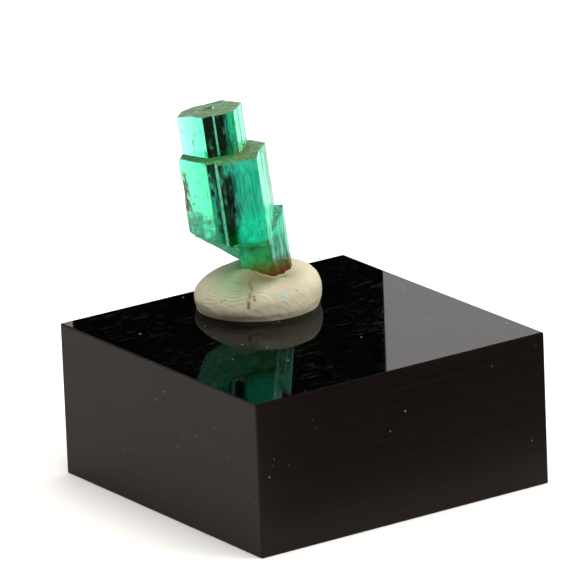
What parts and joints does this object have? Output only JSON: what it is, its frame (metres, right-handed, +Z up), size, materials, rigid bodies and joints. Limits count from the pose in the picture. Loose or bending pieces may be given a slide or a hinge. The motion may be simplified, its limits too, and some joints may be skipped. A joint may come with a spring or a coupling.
{
  "type": "emerald crystal specimen on display block",
  "caption": "Stepped group of grown-together green beryl crystals standing in a pad of putty on a square black display block.",
  "frame": {"origin": "middle of the block's underside", "axes": "+Z up, X and Y along the block's sides"},
  "size_m": [0.033, 0.033, 0.0345],
  "materials": {
    "emerald": "clear to milky green crystal, bright side faces",
    "putty": "matt cream putty with finger ridges",
    "black_acrylic": "polished top, satin sawn sides"
  },
  "bodies": {
    "root": {"emerald_crystal": "emerald", "putty_pad": "putty", "display_block": "black_acrylic"}
  },
  "joints": []
}
